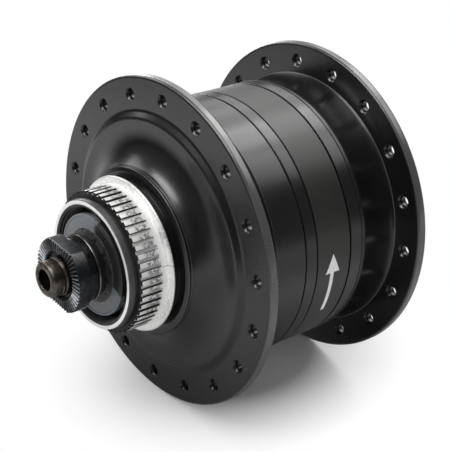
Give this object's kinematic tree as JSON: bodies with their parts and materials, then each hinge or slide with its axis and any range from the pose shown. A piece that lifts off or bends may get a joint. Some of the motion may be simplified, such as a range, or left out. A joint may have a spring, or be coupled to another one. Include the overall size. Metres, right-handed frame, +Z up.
{
  "type": "hub dynamo",
  "caption": "Front bicycle hub with a built-in claw-pole generator, two spoke flanges, a splined rotor mount and a hollow axle.",
  "frame": {"origin": "centre of the axle, halfway between the two locknut faces", "axes": "+Y along the axle from the disc rotor side to the connector side, +Z up through the electrical connector, +X to the right when seen from the disc rotor side"},
  "size_m": [0.09, 0.108, 0.09],
  "materials": {
    "black_anodised": "satin black anodised",
    "bare_aluminium": "machined, scratched",
    "axle_steel": "worn, oily",
    "black_steel": "black oxide",
    "plated_steel": "zinc plated",
    "bearing_steel": "ground and polished",
    "soft_iron": "pressed sheet steel",
    "ferrite": "sintered, matt",
    "copper_wire": "enamelled winding",
    "contact_brass": "tinned brass strip",
    "bobbin_plastic": "moulded",
    "terminal_plastic": "moulded, fine texture",
    "wire_insulation": "soft insulation",
    "label_print": "matt printed band",
    "seal_rubber": "moulded rubber"
  },
  "bodies": {
    "axle_assembly": {"axle": "axle_steel", "cone_disc_side": "black_steel", "cone_connector_side": "black_steel", "dust_seal_disc_side": "seal_rubber", "dust_seal_connector_side": "seal_rubber", "lock_washer_disc_side": "plated_steel", "lock_washer_connector_side": "plated_steel", "locknut_spacer": "black_steel", "locknut_disc_side": "black_steel", "locknut_connector_side": "black_steel", "stator_plate_disc_side": "soft_iron", "stator_plate_connector_side": "soft_iron", "stator_core": "soft_iron", "bobbin": "bobbin_plastic", "coil_winding": "copper_wire", "stator_washer": "plated_steel", "stator_nut": "plated_steel", "lead_wire": "wire_insulation", "terminal_block": "terminal_plastic", "terminal_contacts": "contact_brass"},
    "hub": {"shell_disc_side": "black_anodised", "shell_connector_side": "black_anodised", "seam_gasket": "seal_rubber", "label_band": "label_print", "yoke_ring": "soft_iron", "ring_magnets": "ferrite", "rotor_spline_ring": "bare_aluminium", "lockring_sleeve": "black_anodised", "bearing_cup_disc_side": "bearing_steel", "bearing_cup_connector_side": "bearing_steel", "dust_cover_disc_side": "plated_steel", "dust_cover_connector_side": "plated_steel"},
    "ball_cages": {"bearing_balls": "bearing_steel", "ball_retainer_disc_side": "plated_steel", "ball_retainer_connector_side": "plated_steel"}
  },
  "joints": [
    {"name": "hub_spin", "type": "hinge", "parent": "axle_assembly", "child": "hub", "pos_m": [0, 0, 0], "axis": [0, 1, 0], "continuous": true},
    {"name": "cage_spin", "type": "hinge", "parent": "axle_assembly", "child": "ball_cages", "pos_m": [0, 0, 0], "axis": [0, 1, 0], "continuous": true}
  ],
  "couplings": [
    {"joint": "cage_spin", "follows": "hub_spin", "ratio": 0.5934}
  ]
}
